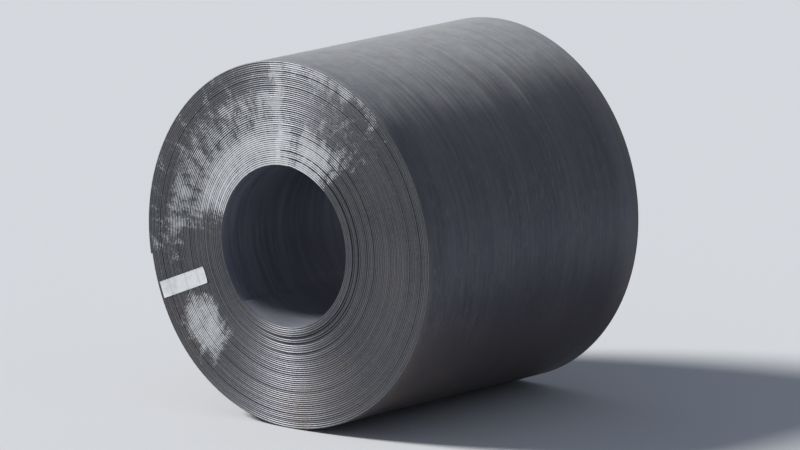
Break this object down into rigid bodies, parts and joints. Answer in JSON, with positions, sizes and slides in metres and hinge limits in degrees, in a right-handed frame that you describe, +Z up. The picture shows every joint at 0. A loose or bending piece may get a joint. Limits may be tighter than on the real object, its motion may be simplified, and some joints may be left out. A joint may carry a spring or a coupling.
{
  "type": "steel coil",
  "caption": "Coil of hot rolled steel strip lying on its side, with an open bore, uneven turns on both ends and a blank label.",
  "frame": {"origin": "on the floor, under the middle of the coil", "axes": "+Y along the bore, from the labelled near end to the far end; +Z up; +X to the right seen from the near end"},
  "size_m": [1.7298, 1.551, 1.7299],
  "materials": {
    "hot_rolled_steel": "dark blue-grey mill scale, satin, with brighter rubbed turn edges and light rust",
    "label": "matt white, blank, a little dusty"
  },
  "bodies": {
    "root": {"coil": "hot_rolled_steel", "label": "label"}
  },
  "joints": []
}
